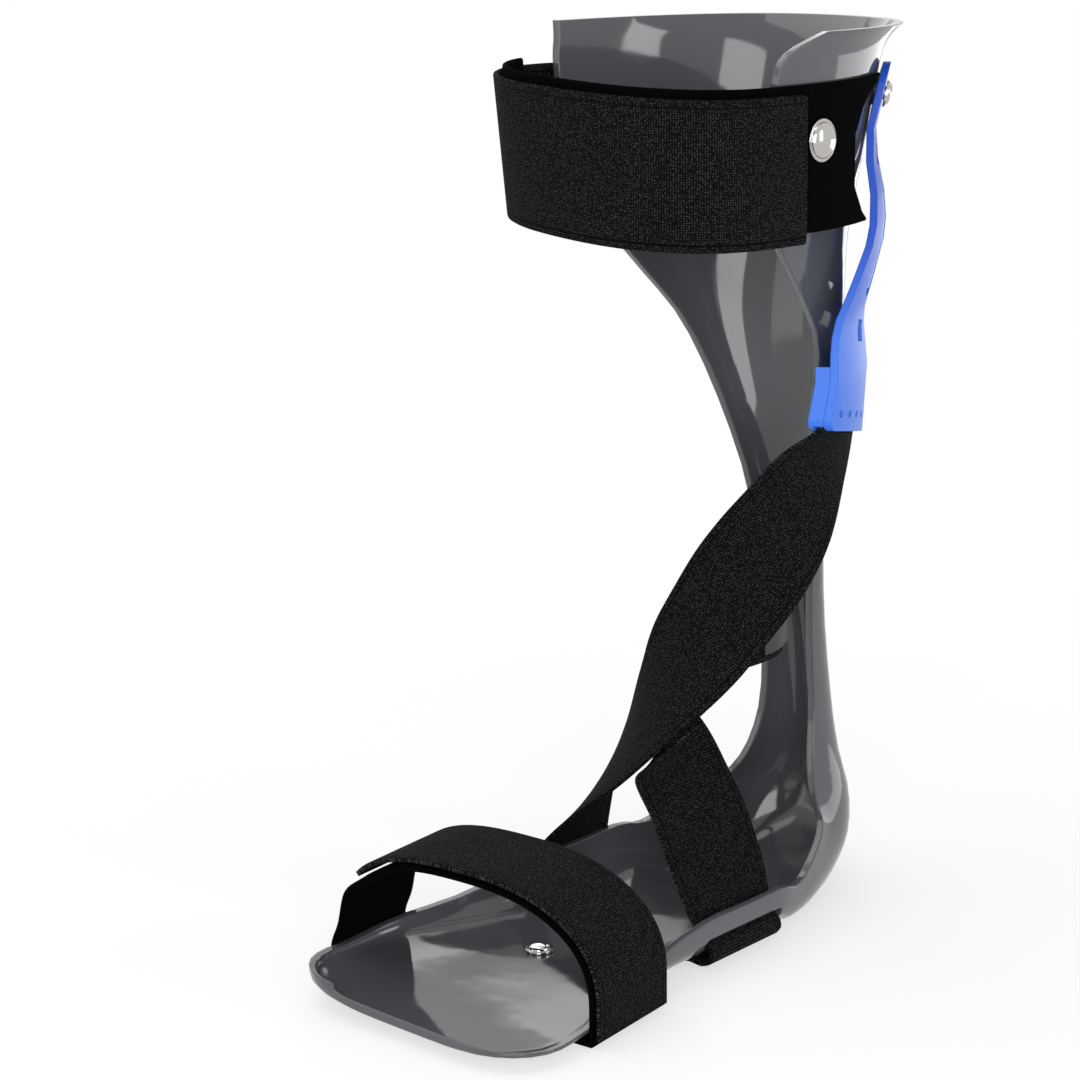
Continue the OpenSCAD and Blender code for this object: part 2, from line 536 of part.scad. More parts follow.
// The ankle strap's front end lies behind the instep strap
ankle_from = let (f = ribbon_frame(instep_rows, 7), lift = back_face - strap_gap - ankle_gap - strap_t / 2)
  f[0] - ankle_inset * f[1] + lift * f[2];
ankle_axis = [0, -0.3, -0.95];
ankle_rows = [
  concat(ankle_from, ankle_axis, [0]),
  [13, -34.4, ankle_z, 0, -0.24, -0.97, 0],
  [16.4, -28.5, ankle_z, 0, -0.12, -0.99, 0],
  [18.2, -20, ankle_z, 0, 0, -1, 0],
  [18.7, -10, ankle_z, 0, 0, -1, 0],
  [17, 2, ankle_z, 0, 0, -1, 0],
  [11, 14, ankle_z, 0, 0, -1, 0]];
last_ankle = len(ankle_rows) - 1;
module ankle_strap() color(webbing)
  ribbon(ankle_rows, ankle_strap_width, [-strap_t / 2, strap_t / 2], [0, last_ankle], 18, 2);
module ankle_hook_tape() color(velvet)
  ribbon(ankle_rows, ankle_strap_width - 6, [back_face - tape_t, back_face],
    [last_ankle - 2, last_ankle - 0.2], 8, 2);

// ---- Forefoot straps: outlines across the foot, drawn in an upright plane turned by loop_turn ----
loop_turn = 5.7;
loop_x = -3;
loop_y = toe_y + 50.2;
loop_half = toe_width / 2 - 6.1;
loop_square = 2.3;
loop_base = 16;
loop_rise = forefoot_height - loop_base;
module forefoot(width) translate([loop_x, loop_y, 0]) rotate(loop_turn) rotate([90, 0, 0])
  linear_extrude(width, center = true) children();
loop_tilt = 0.035;
function loop_point(out, q) = let (p = oval(loop_half + out, loop_rise + out, q > 90 ? 2.9 : loop_square, q))
  [p[0], loop_base + p[1] - loop_tilt * p[0]];
sole_edge_m = toe_width / 2 + 2.3;
// The loop's bottom lies on the floor at the lateral edge and rises towards the medial edge
loop_bottom_rise = 2.1;
tongue_half = 6.5;
tongue_length = 11;
sole_post_d = post_d - 2;
tongue_gap = 0.2;
module forefoot_strap_loop() {
  function ring(out) = concat([[loop_half + out, strap_t - out]],
    [for (q = [0 : 6 : 150]) loop_point(out, q)],
    [[-loop_half - 1.1 - out, 27], [-loop_half - 3.6 - out, 19.5], [-sole_edge_m - out, 13.2],
      [-sole_edge_m - out, strap_t - out + loop_bottom_rise]]);
  color(velvet) difference() {
    union() {
      forefoot(strap_width) difference() {
        polygon(ring(strap_t));
        polygon(ring(0));
      }
      sole_rivet_frame() translate([0, 0, -tongue_gap - strap_t]) linear_extrude(strap_t) {
        circle(tongue_half);
        translate([-tongue_half, -tongue_length]) square([2 * tongue_half, tongue_length]);
      }
    }
    sole_rivet_frame() cylinder(h = through, d = sole_post_d + 2 * running_fit, center = true);
  }
}
hook_out = strap_t + strap_gap + tape_t;
hook_end = 144;
tape_span = [78 : 6 : 132];
module forefoot_strap_hook() {
  function ring(out) = concat([[loop_half + out, 3]], [for (q = [0 : 6 : hook_end]) loop_point(out, q)]);
  color(webbing) forefoot(strap_width) band(ring(hook_out), ring(hook_out + strap_t));
}
module forefoot_hook_tape() {
  color(velvet) forefoot(strap_width - 8)
    band([for (q = tape_span) loop_point(hook_out - tape_t, q)],
      [for (q = tape_span) loop_point(hook_out, q)]);
}
module sole_rivet_frame() translate([-8.5, toe_y + 75, sole_lift]) children();
module forefoot_rivet_cap() color(chrome) sole_rivet_frame()
  translate([0, 0, wall + tongue_gap]) rivet_cap(sole_cap_d);
module forefoot_rivet_post() color(chrome) sole_rivet_frame()
  translate([0, 0, -tongue_gap - strap_t]) cylinder(h = wall + strap_t + 2 * tongue_gap, d = sole_post_d);
module forefoot_rivet_washer() color(chrome) sole_rivet_frame()
  translate([0, 0, -tongue_gap - strap_t - flange]) cylinder(h = flange, d = sole_cap_d);

shell();
calf_strap_loop();
calf_strap_anchor();
calf_strap_hook();
calf_hook_tape();
calf_rivet_caps();
calf_rivet_posts();
calf_rivet_washers();
adjuster_plate();
adjuster_latch();
strap_clamp();
swivel_rivet_cap();
swivel_rivet_post();
swivel_washer();
instep_strap();
sole_strap();
stirrup_strap();
stirrup_hook_tape();
ankle_strap();
ankle_hook_tape();
forefoot_strap_loop();
forefoot_strap_hook();
forefoot_hook_tape();
forefoot_rivet_cap();
forefoot_rivet_post();
forefoot_rivet_washer();
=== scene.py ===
import json
import math

import bpy
import numpy as np
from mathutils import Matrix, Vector


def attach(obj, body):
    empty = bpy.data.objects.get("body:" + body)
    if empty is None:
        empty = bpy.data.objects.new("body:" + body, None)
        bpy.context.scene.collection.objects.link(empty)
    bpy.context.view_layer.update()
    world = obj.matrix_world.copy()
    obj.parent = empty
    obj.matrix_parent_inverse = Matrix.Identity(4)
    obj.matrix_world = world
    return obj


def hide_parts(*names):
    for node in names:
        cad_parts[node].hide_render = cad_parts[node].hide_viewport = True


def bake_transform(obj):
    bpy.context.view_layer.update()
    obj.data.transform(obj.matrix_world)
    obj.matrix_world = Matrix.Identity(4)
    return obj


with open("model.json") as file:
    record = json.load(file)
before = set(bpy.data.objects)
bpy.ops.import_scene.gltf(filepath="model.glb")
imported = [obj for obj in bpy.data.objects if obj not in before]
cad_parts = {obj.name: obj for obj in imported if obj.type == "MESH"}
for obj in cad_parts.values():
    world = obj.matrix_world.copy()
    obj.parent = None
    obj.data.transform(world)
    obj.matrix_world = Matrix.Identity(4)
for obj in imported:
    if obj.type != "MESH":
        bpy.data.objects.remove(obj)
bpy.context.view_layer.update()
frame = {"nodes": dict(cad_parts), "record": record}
scene = bpy.context.scene
MM = 0.001

# ---------------------------------------------------------------- materials


def material(name, slot):
    mat = bpy.data.materials.new(name)
    mat.use_nodes = True
    mat["slot"] = slot
    return mat, mat.node_tree.nodes, mat.node_tree.links, mat.node_tree.nodes["Principled BSDF"]


def ramp(nodes, links, source, stops):
    node = nodes.new("ShaderNodeValToRGB")
    links.new(source, node.inputs["Fac"])
    while len(node.color_ramp.elements) < len(stops):
        node.color_ramp.elements.new(0.5)
    for element, (position, colour) in zip(node.color_ramp.elements, stops):
        element.position = position
        element.color = (*colour, 1.0)
    return node.outputs["Color"]


def mapped(nodes, links, coordinate, scale):
    source = nodes.new("ShaderNodeTexCoord")
    mapping = nodes.new("ShaderNodeMapping")
    mapping.inputs["Scale"].default_value = scale
    links.new(source.outputs[coordinate], mapping.inputs["Vector"])
    return mapping.outputs["Vector"]


def noise(nodes, links, vector, scale, detail=2.0, roughness=0.5):
    node = nodes.new("ShaderNodeTexNoise")
    node.inputs["Scale"].default_value = scale
    node.inputs["Detail"].default_value = detail
    node.inputs["Roughness"].default_value = roughness
    links.new(vector, node.inputs["Vector"])
    return node.outputs["Fac"]


def bump(nodes, links, height, strength, distance, normal=None):
    node = nodes.new("ShaderNodeBump")
    node.inputs["Strength"].default_value = strength
    node.inputs["Distance"].default_value = distance
    links.new(height, node.inputs["Height"])
    if normal is not None:
        links.new(normal, node.inputs["Normal"])
    return node.outputs["Normal"]


def scaled_sum(nodes, links, first, second, weight):
    """first + weight * second"""
    node = nodes.new("ShaderNodeMath")
    node.operation = "MULTIPLY_ADD"
    links.new(second, node.inputs[0])
    node.inputs[1].default_value = weight
    links.new(first, node.inputs[2])
    return node.outputs[0]


def shell_material():
    """Glossy moulded polypropylene: a slightly cloudy grey with slow ripples in its skin."""
    mat, nodes, links, bsdf = material("moulded_grey", "shell_plastic")
    objects = mapped(nodes, links, "Object", (1, 1, 1))
    cloud = noise(nodes, links, objects, 11.0, 3.0)
    links.new(ramp(nodes, links, cloud, [(0.3, (0.056, 0.058, 0.0645)), (0.7, (0.071, 0.073, 0.0805))]),
              bsdf.inputs["Base Color"])
    smear = noise(nodes, links, objects, 30.0, 4.0, 0.6)
    links.new(ramp(nodes, links, smear, [(0.4, (0.05, 0.05, 0.05)), (0.72, (0.13, 0.13, 0.13))]),
              bsdf.inputs["Roughness"])
    bevel = nodes.new("ShaderNodeBevel")
    bevel.samples = 6
    bevel.inputs["Radius"].default_value = 0.0011
    slow = noise(nodes, links, objects, 20.0, 1.0)
    quick = noise(nodes, links, objects, 75.0, 1.0)
    ripple = scaled_sum(nodes, links, slow, quick, 0.16)
    links.new(bump(nodes, links, ripple, 0.35, 0.0012, bevel.outputs["Normal"]), bsdf.inputs["Normal"])
    bsdf.inputs["IOR"].default_value = 1.5
    return mat


def edge_band(nodes, links, at, half):
    """1 in a band at a distance from the strap's edge; the map rim holds that distance in metres."""
    rim = nodes.new("ShaderNodeUVMap")
    rim.uv_map = "rim"
    split = nodes.new("ShaderNodeSeparateXYZ")
    links.new(rim.outputs["UV"], split.inputs["Vector"])
    node = nodes.new("ShaderNodeMath")
    node.operation = "COMPARE"
    links.new(split.outputs["X"], node.inputs[0])
    node.inputs[1].default_value = at
    node.inputs[2].default_value = half
    return node.outputs[0]


WEAVE = (1180, 1350, 1)
SELVEDGE_AT, SELVEDGE_HALF = 0.0026, 0.0003


def webbing_material():
    """Looped face of hook-and-loop webbing: small raised cells and a woven selvedge line."""
    mat, nodes, links, bsdf = material("black_webbing", "webbing")
    uv = mapped(nodes, links, "UV", WEAVE)
    cells = nodes.new("ShaderNodeTexVoronoi")
    cells.inputs["Scale"].default_value = 1.0
    cells.inputs["Randomness"].default_value = 0.35
    links.new(uv, cells.inputs["Vector"])
    loops = nodes.new("ShaderNodeMapRange")
    loops.interpolation_type = "SMOOTHSTEP"
    loops.inputs["From Min"].default_value = 0.16
    loops.inputs["From Max"].default_value = 0.52
    loops.inputs["To Min"].default_value = 1.0
    loops.inputs["To Max"].default_value = 0.0
    links.new(cells.outputs["Distance"], loops.inputs["Value"])
    grain = noise(nodes, links, uv, 0.9, 1.0, 0.4)
    share = nodes.new("ShaderNodeMath")
    share.operation = "MULTIPLY_ADD"
    links.new(grain, share.inputs[0])
    share.inputs[1].default_value = 0.55
    share.inputs[2].default_value = 0.25
    worn = nodes.new("ShaderNodeMath")
    worn.operation = "MULTIPLY"
    links.new(loops.outputs["Result"], worn.inputs[0])
    links.new(share.outputs[0], worn.inputs[1])
    selvedge = edge_band(nodes, links, SELVEDGE_AT, SELVEDGE_HALF)
    height = scaled_sum(nodes, links, worn.outputs[0], selvedge, -0.5)
    stops = [(0.0, (0.0018, 0.0018, 0.0021)), (0.22, (0.0065, 0.0068, 0.008)),
             (0.42, (0.021, 0.0225, 0.026)), (0.62, (0.055, 0.058, 0.066))]
    links.new(ramp(nodes, links, height, stops), bsdf.inputs["Base Color"])
    links.new(bump(nodes, links, height, 1.0, 0.0005), bsdf.inputs["Normal"])
    bsdf.inputs["Roughness"].default_value = 0.85
    bsdf.inputs["Specular IOR Level"].default_value = 0.03
    bsdf.inputs["Sheen Weight"].default_value = 0.008
    bsdf.inputs["Sheen Roughness"].default_value = 0.4
    return mat


def velvet_material():
    """Brushed velvet: a deep black pile that swallows light."""
    mat, nodes, links, bsdf = material("black_velvet", "velvet")
    uv = mapped(nodes, links, "UV", (1000, 1000, 1))
    pile = noise(nodes, links, uv, 1.6, 5.0, 0.75)
    links.new(ramp(nodes, links, pile, [(0.3, (0.0006, 0.0006, 0.0007)), (0.75, (0.0026, 0.0026, 0.003))]),
              bsdf.inputs["Base Color"])
    links.new(bump(nodes, links, pile, 0.7, 0.0004), bsdf.inputs["Normal"])
    bsdf.inputs["Roughness"].default_value = 0.95
    bsdf.inputs["Specular IOR Level"].default_value = 0.005
    bsdf.inputs["Sheen Weight"].default_value = 0.004
    bsdf.inputs["Sheen Roughness"].default_value = 0.5
    return mat


def plain_material(name, slot, colour, roughness, metallic=0.0, specular=0.5):
    mat, nodes, links, bsdf = material(name, slot)
    bsdf.inputs["Base Color"].default_value = (*colour, 1)
    bsdf.inputs["Roughness"].default_value = roughness
    bsdf.inputs["Metallic"].default_value = metallic
    bsdf.inputs["Specular IOR Level"].default_value = specular
    bevel = nodes.new("ShaderNodeBevel")
    bevel.samples = 6
    bevel.inputs["Radius"].default_value = 0.0005
    links.new(bevel.outputs["Normal"], bsdf.inputs["Normal"])
    return mat


# Heights in metres of the blue's painted light and shade: lighter (painted light) up to the first, darker
# (painted shade) from the second up the neck.
LIT_FOOT_TOP, SHADED_NECK_FROM = 0.214, 0.25


def blue_material():
    """The plate's blue with painted light and shade: deeper in the neck (painted shade) than in the broad
    lower end (painted light).
    """
    mat = plain_material("adjuster_blue", "blue_plastic", (0.026, 0.115, 0.56), 0.42, specular=0.22)
    nodes, links = mat.node_tree.nodes, mat.node_tree.links
    height = nodes.new("ShaderNodeSeparateXYZ")
    links.new(mapped(nodes, links, "Object", (1, 1, 1)), height.inputs["Vector"])
    # Painted light on the lower end and painted shade up the neck, set by height alone.
    stops = [(LIT_FOOT_TOP, (0.034, 0.135, 0.58)), (SHADED_NECK_FROM, (0.010, 0.062, 0.42))]
    links.new(ramp(nodes, links, height.outputs["Z"], stops), nodes["Principled BSDF"].inputs["Base Color"])
    return mat


SHELL = shell_material()
WEBBING = webbing_material()
VELVET = velvet_material()
CHROME = plain_material("polished_chrome", "chrome_steel", (0.48, 0.465, 0.45), 0.08, 1.0)
BLUE = blue_material()
LIGHT_BLUE = plain_material("adjuster_light_blue", "light_blue_plastic", (0.055, 0.175, 0.66), 0.42,
                            specular=0.22)
HOOKS = plain_material("hook_face", "hook_tape", (0.006, 0.006, 0.007), 0.6)
SLOTS = {"shell_plastic": SHELL, "webbing": WEBBING, "velvet": VELVET, "hook_tape": HOOKS,
         "chrome_steel": CHROME, "blue_plastic": BLUE, "light_blue_plastic": LIGHT_BLUE}



def sharp_edges(angle):
    """A node group that keeps the edges over an angle sharp."""
    group = bpy.data.node_groups.new("sharp_edges", "GeometryNodeTree")
    group.interface.new_socket("Geometry", in_out="INPUT", socket_type="NodeSocketGeometry")
    group.interface.new_socket("Geometry", in_out="OUTPUT", socket_type="NodeSocketGeometry")
    start, end = group.nodes.new("NodeGroupInput"), group.nodes.new("NodeGroupOutput")
    fold = group.nodes.new("GeometryNodeInputMeshEdgeAngle")
    over = group.nodes.new("FunctionNodeCompare")
    over.operation = "GREATER_THAN"
    over.inputs["B"].default_value = angle
    shade = group.nodes.new("GeometryNodeSetShadeSmooth")
    shade.domain = "EDGE"
    shade.inputs["Shade Smooth"].default_value = False
    group.links.new(fold.outputs["Unsigned Angle"], over.inputs["A"])
    group.links.new(start.outputs[0], shade.inputs[0])
    group.links.new(over.outputs["Result"], shade.inputs["Selection"])
    group.links.new(shade.outputs[0], end.inputs[0])
    return group


EDGES = sharp_edges(math.radians(32))
WELD_WITHIN = 0.00002
slot_of = {s["node"]: s["material_slot"] for s in frame["record"]["subparts"]}
for node_name, obj in frame["nodes"].items():
    obj.data.materials.clear()
    obj.data.materials.append(SLOTS[slot_of[node_name]])
    weld = obj.modifiers.new("weld", "WELD")
    weld.merge_threshold = WELD_WITHIN
    for polygon in obj.data.polygons:
        polygon.use_smooth = True
    obj.modifiers.new("edges", "NODES").node_group = EDGES

# ---------------------------------------------------------------- strap curves, in mm


def hermite_rows(rows, u):
    """The table's values at row u, on a smooth curve through all rows."""
    rows = np.asarray(rows, float)
    last = len(rows) - 1
    i = int(max(0, min(math.floor(u), last - 1)))
    f = u - i
    ma = rows[1] - rows[0] if i == 0 else (rows[i + 1] - rows[i - 1]) / 2
    mb = rows[last] - rows[last - 1] if i == last - 1 else (rows[i + 2] - rows[i]) / 2
    g, h = f * f, f ** 3
    return (rows[i] * (2 * h - 3 * g + 1) + ma * (h - 2 * g + f)
            + rows[i + 1] * (3 * g - 2 * h) + mb * (h - g))


def unit(v):
    v = np.asarray(v, float)
    return v / np.linalg.norm(v)


def rows_frame(rows, u):
    """Place, direction across, normal and cupping of a strap at row u of its table."""
    r = hermite_rows(rows, u)
    a, b = hermite_rows(rows, u - 0.02), hermite_rows(rows, u + 0.02)
    across, along = unit(r[3:6]), unit(b[:3] - a[:3])
    return r[:3], across, unit(np.cross(along, across)), r[6]


TOE_OUT = math.radians(5.6)
LEG_Y = 23.0


def from_leg(p):
    """A point of the leg, turned about the vertical axis through LEG_Y into the shared frame."""
    x, y = p[0], p[1] - LEG_Y
    c, s = math.cos(-TOE_OUT), math.sin(-TOE_OUT)
    return np.array([x * c - y * s, LEG_Y + x * s + y * c, p[2]])


def path_frames(points, across, place, lean=None):
    """Frames along a middle line of (a, b) points; place puts a point in the frame.

    lean(point) tips the width inwards by that slope, and draws it in a little."""
    frames = []
    world = [place(p) for p in points]
    for i, p in enumerate(world):
        along = unit(world[min(i + 1, len(world) - 1)] - world[max(i - 1, 0)])
        normal = unit(np.cross(along, across))
        slope = lean(points[i]) if lean else 0.0
        side = unit(across - normal * slope)
        frames.append((p - normal * 14 * slope, side, unit(np.cross(along, side)), 0.0))
    return frames


STEP = 2.0


def resample(points, step=STEP):
    """The same line with its points about step apart."""
    points = np.asarray(points, float)
    lengths = np.concatenate([[0], np.cumsum(np.linalg.norm(np.diff(points, axis=0), axis=1))])
    count = max(2, int(lengths[-1] / step))
    at = np.linspace(0, lengths[-1], count + 1)
    return np.stack([np.interp(at, lengths, points[:, k]) for k in range(points.shape[1])], 1)


def softened(points, turns):
    """The same line with its corners rounded off."""
    points = np.asarray(points, float)
    for _ in range(turns):
        inner = (points[:-2] + 2 * points[1:-1] + points[2:]) / 4
        points = np.concatenate([points[:1], inner, points[-1:]])
    return points


def strap(name, frames, width, low, high, mat, body, nodes, corners=(0, 0), cut=None, edge=0.8):
    """A strap along frames, between heights low and high over its middle face.

    corners are the radii at its two ends; cut(x) is how far the start is cut back at x across it."""
    across_steps, arc_steps = 16, 3
    place = np.array([f[0] for f in frames])
    across = np.array([f[1] for f in frames])
    normal = np.array([f[2] for f in frames])
    cup = np.array([f[3] for f in frames])
    lengths = np.concatenate([[0], np.cumsum(np.linalg.norm(np.diff(place, axis=0), axis=1))])
    half, radius, mid = width / 2, min(edge, (high - low) / 2), (low + high) / 2
    flat = half - radius
    section = [(-flat + 2 * flat * j / across_steps, low) for j in range(across_steps + 1)]
    turns = [math.pi * k / (arc_steps + 1) for k in range(1, arc_steps + 1)]
    section += [(flat + radius * math.sin(a), mid - (high - low) / 2 * math.cos(a)) for a in turns]
    section += [(flat - 2 * flat * j / across_steps, high) for j in range(across_steps + 1)]
    section += [(-flat - radius * math.sin(a), mid + (high - low) / 2 * math.cos(a)) for a in turns]
    lanes, uvs, rims = [], [], []
    for x, h in section:
        ends = []
        for r in corners:
            over = abs(x) - (half - r)
            ends.append(r - math.sqrt(max(r * r - over * over, 0)) if r and over > 0 else 0.0)
        at = np.linspace(ends[0] + (cut(x) if cut else 0), lengths[-1] - ends[1], len(frames))

        def along(values):
            return np.stack([np.interp(at, lengths, values[:, k]) for k in range(3)], 1)

        lift = h - np.interp(at, lengths, cup) * (2 * x / width) ** 2
        lanes.append((along(place) + along(across) * x + along(normal) * lift[:, None]) * MM)
        uvs.append(np.stack([at * MM, np.full(len(at), x * MM)], 1))
        rims.append(np.stack([np.full(len(at), (half - abs(x)) * MM), (lengths[-1] - at) * MM], 1))
    verts = np.stack(lanes, 1).reshape(-1, 3)
    ring = len(section)
    faces = [(i * ring + j, (i + 1) * ring + j, (i + 1) * ring + (j + 1) % ring, i * ring + (j + 1) % ring)
             for i in range(len(frames) - 1) for j in range(ring)]
    last = (len(frames) - 1) * ring
    other = 2 * across_steps + arc_steps + 1
    for j in range(across_steps):
        faces.append((j, j + 1, other - j - 1, other - j))
        faces.append((last + other - j, last + other - j - 1, last + j + 1, last + j))
    maps = {"UVMap": np.stack(uvs, 1).reshape(-1, 2), "rim": np.stack(rims, 1).reshape(-1, 2)}
    return build(name, verts, faces, maps, mat, body, nodes)


def build(name, verts, faces, maps, mat, body, nodes):
    mesh = bpy.data.meshes.new(name)
    mesh.from_pydata([tuple(v) for v in verts], [], faces)
    loop_verts = np.zeros(len(mesh.loops), int)
    mesh.loops.foreach_get("vertex_index", loop_verts)
    for map_name, values in maps.items():
        mesh.uv_layers.new(name=map_name).data.foreach_set("uv", values[loop_verts].ravel())
    for polygon in mesh.polygons:
        polygon.use_smooth = True
    mesh.set_sharp_from_angle(angle=math.radians(50))
    mesh.materials.append(mat)
    mesh.update()
    obj = bpy.data.objects.new(name, mesh)
    scene.collection.objects.link(obj)
    if body:
        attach(obj, body)
    if nodes:
        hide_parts(*nodes)
    return obj


STRAP_T, TAPE_T, GAP, SEAT = 1.8, 0.8, 0.35, 0.1
CALF_WIDTH, CALF_TAPE_WIDTH, FOOT_WIDTH, FOOT_TAPE_WIDTH = 50, 42, 40, 32
ANKLE_WIDTH, ANKLE_TAPE_WIDTH, STIRRUP_TAPE_WIDTH = 36, 30, 26
VELVET_EDGE, TAPE_EDGE = 0.9, 0.3
UP = np.array([0.0, 0.0, 1.0])
half_t = STRAP_T / 2

# Calf straps, in the leg's frame
STATION = dict(y=51.6002, half=52.6733, wall_m=89.1509, wall_l=87.3145, square=2.4)
CALF_IN, CALF_FRONT, CALF_MID_Y, HINGE_Y = 52.7733, 46.0, -35.7143, -38.5507
CALF_HOOK_IN = CALF_IN + STRAP_T + GAP + TAPE_T
LOOP_Z, HOOK_Z = 279.0, 276.0
CALF_SQUARE, MEDIAL_RISE, TAB_HOLLOW_Y, TAB_HOLLOW_R = 2.4, 5.0, 33, 26.6


def wall_point(t, out):
    """A point out from the cuff's wall; t is -1 at the medial front edge and 1 at the lateral one."""
    side, q, n = (-1 if t < 0 else 1), math.radians(90 * abs(t)), 2 / STATION["square"]
    w = STATION["half"] + out
    d = (STATION["wall_m"] if t < 0 else STATION["wall_l"]) + out
    x = side * w * math.sin(q) ** n
    rise = -out + d * (1 - max(math.cos(q), 0) ** n)
    return (x, STATION["y"] - rise)


def oval(a, b, square, q):
    """A point at q degrees on a squared oval of half width a and height b."""
    n, c, s = 2 / square, math.cos(math.radians(q)), math.sin(math.radians(q))
    return (a * math.copysign(abs(c) ** n, c), b * abs(s) ** n)


def calf_oval(out, q):
    x, y = oval(CALF_IN + out, CALF_FRONT + out, CALF_SQUARE, q)
    return (x, CALF_MID_Y - y)


def leg_place(z):
    """The calf straps rise a little towards the medial side."""
    return lambda p: from_leg((p[0], p[1], z + MEDIAL_RISE * min(1.0, max(0.0, (52 - p[0]) / 104))))


def calf_lean(p):
    """The straps lean inwards a little on the medial side of the shin."""
    return 0.09 * min(1.0, max(0.0, (30 - p[0]) / 60)) * min(1.0, max(0.0, (-40 - p[1]) / 18))


loop_path = resample([wall_point(0.52 + 0.48 * k / 16, SEAT + half_t) for k in range(17)]
                     + [calf_oval(half_t, q) for q in range(3, 163, 3)])


def hollow(x):
    """How far the velvet tab's rear edge is cut back, x below the strap's middle line."""
    rise = LOOP_Z - x - HOOK_Z
    for i, p in enumerate(loop_path[:30]):
        if math.hypot(p[1] - TAB_HOLLOW_Y, rise) > TAB_HOLLOW_R:
            return STEP * i
    return 0.0


strap("calf_loop_velvet", path_frames(loop_path, -UP, leg_place(LOOP_Z), calf_lean), CALF_WIDTH,
      -half_t, half_t, VELVET, "brace", ["calf_strap_loop"], cut=hollow, edge=VELVET_EDGE)


def anchor_out(t):
    """The fixed part leaves the wall at its front edge, to meet the strap that swings."""
    return SEAT + (CALF_HOOK_IN - CALF_IN) * max(0.0, (-t - 0.935) / 0.065) ** 1.5 + half_t


anchor_path = [wall_point(-0.6 - 0.4 * k / 16, anchor_out(-0.6 - 0.4 * k / 16)) for k in range(17)]
anchor_path += [(-CALF_HOOK_IN - half_t, HINGE_Y + GAP)]
strap("calf_anchor_webbing", path_frames(resample(anchor_path), UP, leg_place(HOOK_Z)), CALF_WIDTH,
      -half_t, half_t, WEBBING, "brace", ["calf_strap_anchor"])

hook_path = ([(CALF_HOOK_IN + half_t, CALF_MID_Y + 10)]
             + [calf_oval(CALF_HOOK_IN - CALF_IN + half_t, q) for q in range(0, 175, 3)]
             + [(-CALF_HOOK_IN - half_t, HINGE_Y)])
strap("calf_hook_webbing", path_frames(resample(hook_path), -UP, leg_place(HOOK_Z), calf_lean), CALF_WIDTH,
      -half_t, half_t, WEBBING, "calf_flap", ["calf_strap_hook"], corners=(1.5, 0))
tape_path = ([(CALF_HOOK_IN, CALF_MID_Y + 6)]
             + [calf_oval(CALF_HOOK_IN - CALF_IN, q) for q in range(0, 49, 3)])
strap("calf_hook_face", path_frames(resample(tape_path), -UP, leg_place(HOOK_Z), calf_lean), CALF_TAPE_WIDTH,
      -TAPE_T, 0, HOOKS, "calf_flap", ["calf_hook_tape"], edge=TAPE_EDGE)

# Foot-lift strap: each row is a place, a direction across and how far the edges cup
INSTEP = [
    [39.4537, 12.7615, 200.31, -0.373411, 0.907831, -0.190809, 2.30466],
    [39.7015, 10.5711, 190.003, -0.350114, 0.917067, -0.190809, 2.32068],
    [39.8596, 8.32669, 179.696, -0.326037, 0.925901, -0.190809, 2.33826],
    [37, -1.7, 166.6, 0, 0.9, -0.4, 2.5], [33, -10.8, 151.8, 0.3, 0.7, -0.6, 1.5],
    [28, -21.8, 138, 0.6, 0.5, -0.6, 1], [22, -32, 124, 0.8, 0.2, -0.5, 0.5],
    [16, -40, 110, 0.9, 0, -0.5, 0], [7, -44.5, 96, 0.8, -0.3, -0.5, 0],
    [-3, -46, 82, 0.7, -0.6, -0.5, 0], [-17, -43.5, 64, 0.5, -0.8, -0.4, 0],
    [-31, -42, 46.5, 0.3, -0.9, -0.2, 0], [-39.1, -46, 27, 0.05, -1, 0.05, 0],
    [-38.7, -46, 20, 0, -1, 0, 0]]


def row_frames(rows, start, end, count):
    return [rows_frame(rows, start + (end - start) * i / count) for i in range(count + 1)]


instep = strap("instep_webbing", row_frames(INSTEP, 0, len(INSTEP) - 1, 156), FOOT_WIDTH, -half_t, half_t,
               WEBBING, None, ["instep_strap"])
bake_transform(instep)
BACK = -half_t - 0.25
LIFT = BACK - TAPE_T - 0.45 - half_t


def behind(u):
    """A row of the stirrup's table that follows the back of the foot-lift strap at its row u."""
    p, across, normal, _ = rows_frame(INSTEP, u)
    c = p + normal * LIFT
    return [*c, *(-across), 0]


STIRRUP = [[34.3, -46, 13.9, 0, 1, 0, 0], [32, -45.5, 19, 0.1, 0.98, 0.02, 0],
           [24, -41.5, 29, 0.2, 0.97, 0.03, 0], [13, -38, 45, 0.25, 0.97, 0, 0],
           [3.5, -37.5, 59, 0.2, 0.97, 0.05, 0], [0.6, -38.8, 70, -0.2, 0.9, 0.25, 0]]
STIRRUP += [behind(u) for u in (9, 8.8, 8.6, 8.4, 8.2)]
strap("stirrup_webbing", row_frames(STIRRUP, 0, len(STIRRUP) - 1, 90), FOOT_WIDTH, -half_t, half_t, WEBBING,
      "brace", ["stirrup_strap"])
strap("stirrup_hook_face", row_frames(INSTEP, 8.25, 8.85, 12), STIRRUP_TAPE_WIDTH, BACK - TAPE_T, BACK, HOOKS,
      "brace", ["stirrup_hook_tape"], edge=TAPE_EDGE)

